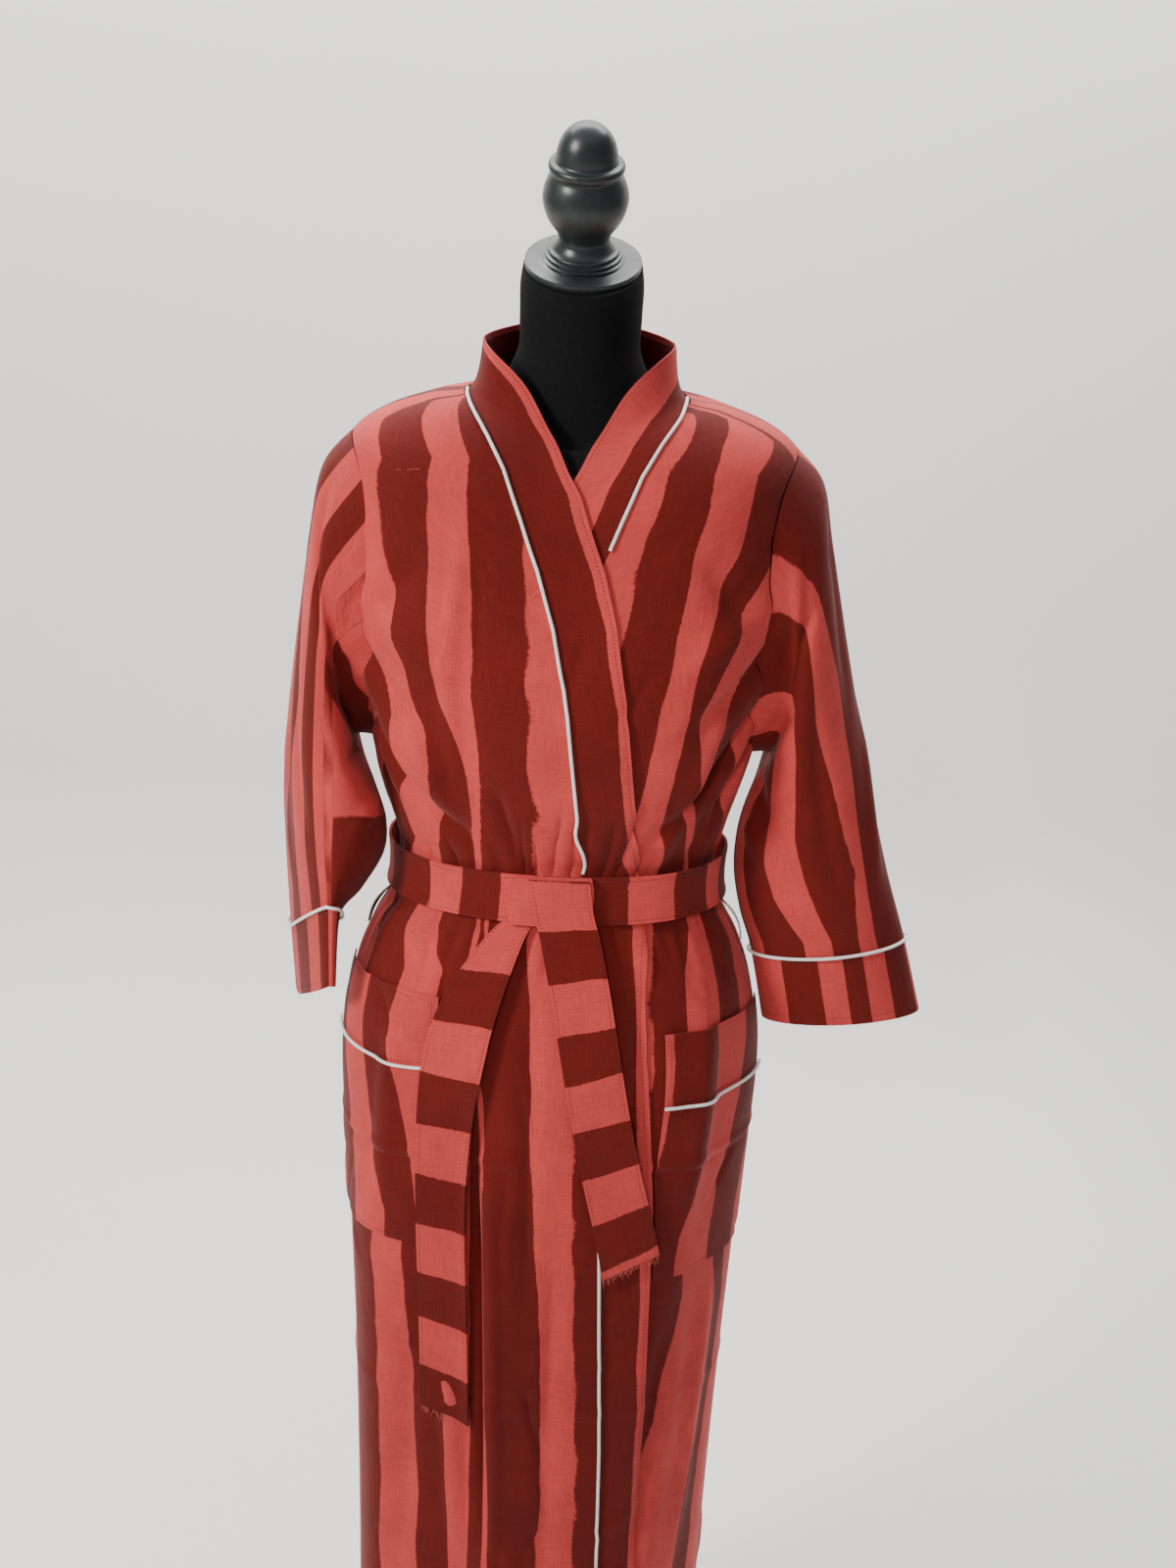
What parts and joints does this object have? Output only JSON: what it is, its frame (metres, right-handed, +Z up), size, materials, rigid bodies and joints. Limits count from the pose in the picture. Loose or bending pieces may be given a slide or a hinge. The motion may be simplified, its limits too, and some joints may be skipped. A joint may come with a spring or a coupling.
{
  "type": "kimono robe on dress form",
  "caption": "Ankle-length cotton wrap robe with a tie belt, patch pockets and wide sleeves, hanging on a limbless dress form with a turned cap and a round base.",
  "frame": {"origin": "centre of the stand's underside, on the floor", "axes": "+Z up, +X to the viewer's right, -Y towards the viewer, where the fronts wrap"},
  "size_m": [0.5931, 0.36, 1.6431],
  "materials": {
    "robe_cloth": "matte plain-weave cotton, uneven dark red and pink stripes",
    "piping": "matte white cotton cord",
    "form_jersey": "matte black jersey",
    "finial_paint": "satin black paint on turned wood",
    "stand_metal": "satin black"
  },
  "bodies": {
    "root": {"back": "robe_cloth", "front_over": "robe_cloth", "front_under": "robe_cloth", "band_back": "robe_cloth", "band_over": "robe_cloth", "band_under": "robe_cloth", "sleeve_left": "robe_cloth", "sleeve_right": "robe_cloth", "cuff_left": "robe_cloth", "cuff_right": "robe_cloth", "pocket_left": "robe_cloth", "pocket_right": "robe_cloth", "pocket_band_left": "robe_cloth", "pocket_band_right": "robe_cloth", "belt_ring": "robe_cloth", "belt_knot": "robe_cloth", "belt_tail_left": "robe_cloth", "belt_tail_right": "robe_cloth", "belt_loop_left": "robe_cloth", "belt_loop_right": "robe_cloth", "piping_band_over": "piping", "piping_band_skirt": "piping", "piping_band_under": "piping", "piping_cuff_left": "piping", "piping_cuff_right": "piping", "piping_pocket_left": "piping", "piping_pocket_right": "piping", "form_torso": "form_jersey", "finial": "finial_paint", "stand_pole": "stand_metal", "stand_base": "stand_metal"}
  },
  "joints": []
}
